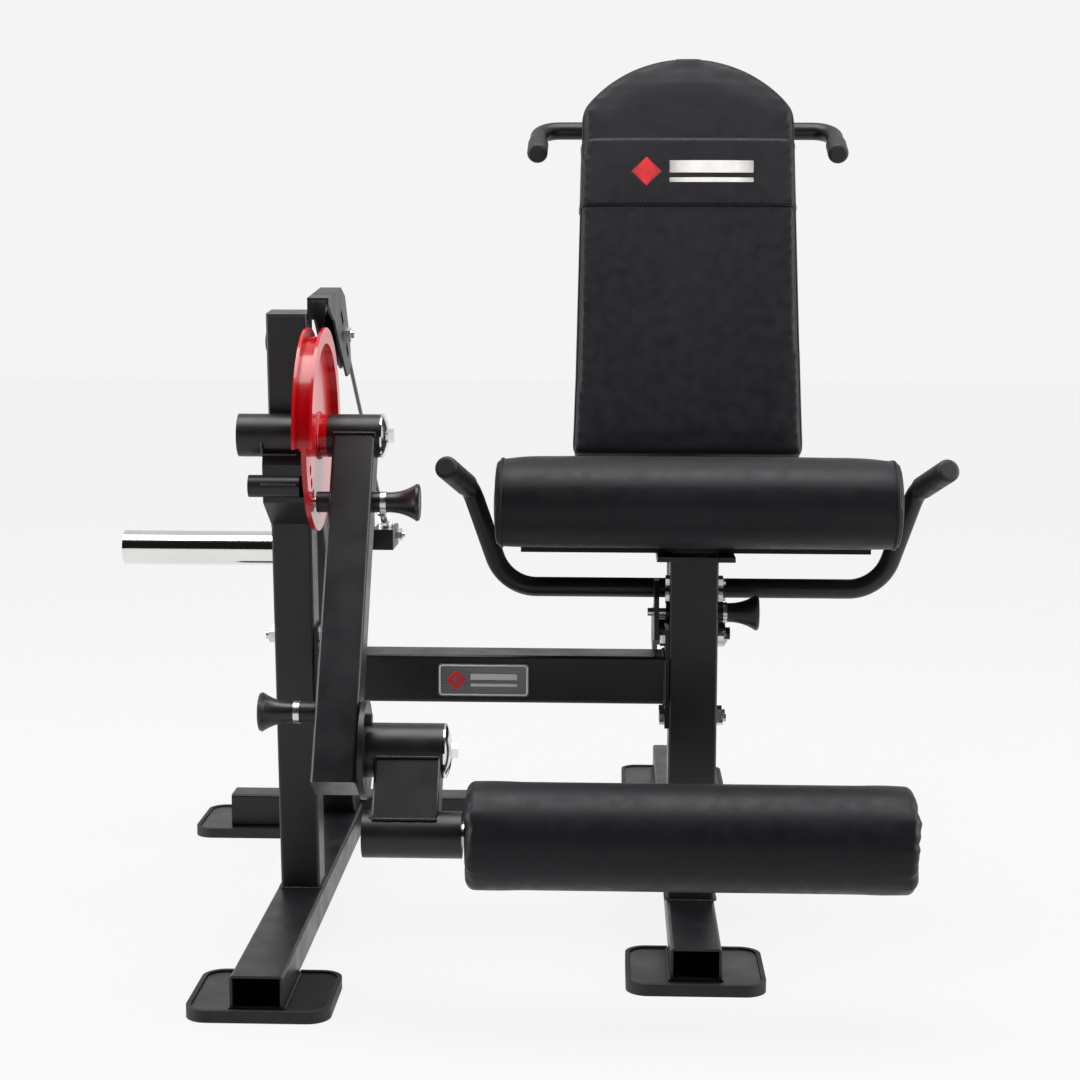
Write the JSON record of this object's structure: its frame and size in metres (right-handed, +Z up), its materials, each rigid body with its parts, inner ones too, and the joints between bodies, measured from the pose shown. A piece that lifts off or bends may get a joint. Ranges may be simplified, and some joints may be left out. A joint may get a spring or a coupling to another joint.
{
  "type": "leg extension machine",
  "caption": "Plate-loaded leg extension bench: swinging lever with padded roller, cam and cable lifting a plate arm, reclining back, on a welded tube frame.",
  "frame": {"origin": "centre of the footprint box on the floor, under the whole machine", "axes": "+X across the machine from the weight sleeve towards the seat, +Y from the leg roller back to the rear foot, +Z up"},
  "size_m": [1.1371, 1.2745, 1.1398],
  "materials": {
    "frame_black": "satin black powder coat",
    "cam_red": "gloss red paint",
    "vinyl_black": "satin black upholstery vinyl",
    "rubber_black": "matt black rubber",
    "plastic_black": "satin black moulded plastic",
    "zinc": "bright zinc plate",
    "chrome": "polished chrome",
    "badge_silver": "brushed silver badge",
    "cable_black": "black nylon jacket",
    "plywood": "plywood board"
  },
  "bodies": {
    "root": {"tower_base_beam": "frame_black", "rear_cross_tube": "frame_black", "seat_base_beam": "frame_black", "foot_front_left": "rubber_black", "foot_rear_left": "rubber_black", "foot_front_right": "rubber_black", "foot_rear_right": "rubber_black", "foot_plates": "frame_black", "tower_post": "frame_black", "tower_post_cap": "plastic_black", "post_plug": "plastic_black", "rear_brace": "frame_black", "crossbeam": "frame_black", "frame_bolts": "zinc", "name_plate": "badge_silver", "pivot_housing": "frame_black", "pivot_gusset": "frame_black", "stop_tube": "frame_black", "pivot_axle": "chrome", "pulley_bracket": "frame_black", "pulley_bolt": "zinc", "arm_pivot_ears": "frame_black", "arm_pivot_bolt": "zinc", "arm_stop": "rubber_black", "cable_tower": "cable_black", "seat_post": "frame_black", "seat_mount": "frame_black", "seat_board": "plywood", "seat_cushion": "vinyl_black", "seat_handlebar": "frame_black", "seat_grips": "rubber_black", "back_pivot": "frame_black"},
    "cam": {"cam": "cam_red", "cable_anchor": "zinc"},
    "lever": {"lever_arm": "frame_black", "lever_end_cap": "plastic_black", "shin_axle": "chrome", "upper_pin_housing": "frame_black", "lower_pin_housing": "frame_black"},
    "upper_pull_pin": {"upper_pin": "zinc", "upper_knob": "plastic_black"},
    "lower_pull_pin": {"lower_pin": "zinc", "lower_knob": "plastic_black"},
    "shin": {"shin_arm": "frame_black", "shin_quadrant": "frame_black", "roller_axle": "zinc"},
    "roller": {"roller_core": "plastic_black", "roller_pad": "vinyl_black"},
    "weight_arm": {"weight_arm": "frame_black", "weight_sleeve": "chrome"},
    "pulley": {"pulley": "plastic_black"},
    "cable_front_run": {"cable_upper": "cable_black"},
    "cable_back_run": {"cable_lower": "cable_black", "cable_clevis": "zinc"},
    "seat_pull_pin": {"seat_pin": "zinc", "seat_knob": "plastic_black"},
    "backrest": {"back_carrier": "frame_black", "back_upright": "frame_black", "back_board": "plywood", "back_cushion": "vinyl_black", "back_handlebar": "frame_black", "back_grips": "rubber_black"}
  },
  "joints": [
    {"name": "cam_swing", "type": "hinge", "parent": "root", "child": "cam", "pos_m": [-0.24206, -0.31775, 0.64], "axis": [-1, 0, 0], "range_deg": [0, 95]},
    {"name": "start_position", "type": "hinge", "parent": "cam", "child": "lever", "pos_m": [-0.24206, -0.31775, 0.64], "axis": [-1, 0, 0], "range_deg": [-12, 24]},
    {"name": "shin_adjust", "type": "hinge", "parent": "lever", "child": "shin", "pos_m": [-0.24206, -0.51873, 0.29879], "axis": [-1, 0, 0], "range_deg": [-36, 36]},
    {"name": "roller_spin", "type": "hinge", "parent": "shin", "child": "roller", "pos_m": [-0.24206, -0.57775, 0.217], "axis": [1, 0, 0], "continuous": true},
    {"name": "upper_pin_pull", "type": "slide", "parent": "lever", "child": "upper_pull_pin", "axis": [1, 0, 0], "range_m": [0, 0.012], "stiffness_N_per_m": 1500, "springref_m": -0.004},
    {"name": "lower_pin_pull", "type": "slide", "parent": "lever", "child": "lower_pull_pin", "axis": [-1, 0, 0], "range_m": [0, 0.012], "stiffness_N_per_m": 1500, "springref_m": -0.004},
    {"name": "seat_pin_pull", "type": "slide", "parent": "root", "child": "seat_pull_pin", "axis": [1, 0, 0], "range_m": [0, 0.012], "stiffness_N_per_m": 1500, "springref_m": -0.004},
    {"name": "back_tilt", "type": "hinge", "parent": "root", "child": "backrest", "pos_m": [-0.24206, -0.15175, 0.374], "axis": [-1, 0, 0], "range_deg": [-4, 8]},
    {"name": "weight_arm_lift", "type": "hinge", "parent": "root", "child": "weight_arm", "pos_m": [-0.24206, -0.00275, 0.43], "axis": [1, 0, 0], "range_deg": [0, 38.9]},
    {"name": "pulley_spin", "type": "hinge", "parent": "root", "child": "pulley", "pos_m": [-0.24206, -0.14275, 0.757], "axis": [1, 0, 0], "range_deg": [0, 278]},
    {"name": "cable_front_swing", "type": "hinge", "parent": "root", "child": "cable_front_run", "pos_m": [-0.24206, -0.14275, 0.757], "axis": [1, 0, 0], "range_deg": [0, 23.7], "deforming": ["cable_upper"]},
    {"name": "cable_back_swing", "type": "hinge", "parent": "weight_arm", "child": "cable_back_run", "pos_m": [-0.24206, 0.47725, 0.422], "axis": [1, 0, 0], "range_deg": [-15.3, 0], "deforming": ["cable_lower"]}
  ],
  "couplings": [
    {"joint": "weight_arm_lift", "follows": "cam_swing", "ratio": 0.40864},
    {"joint": "pulley_spin", "follows": "cam_swing", "ratio": 2.9234},
    {"joint": "cable_front_swing", "follows": "cam_swing", "ratio": 0.24853},
    {"joint": "cable_back_swing", "follows": "cam_swing", "ratio": -0.16011}
  ]
}
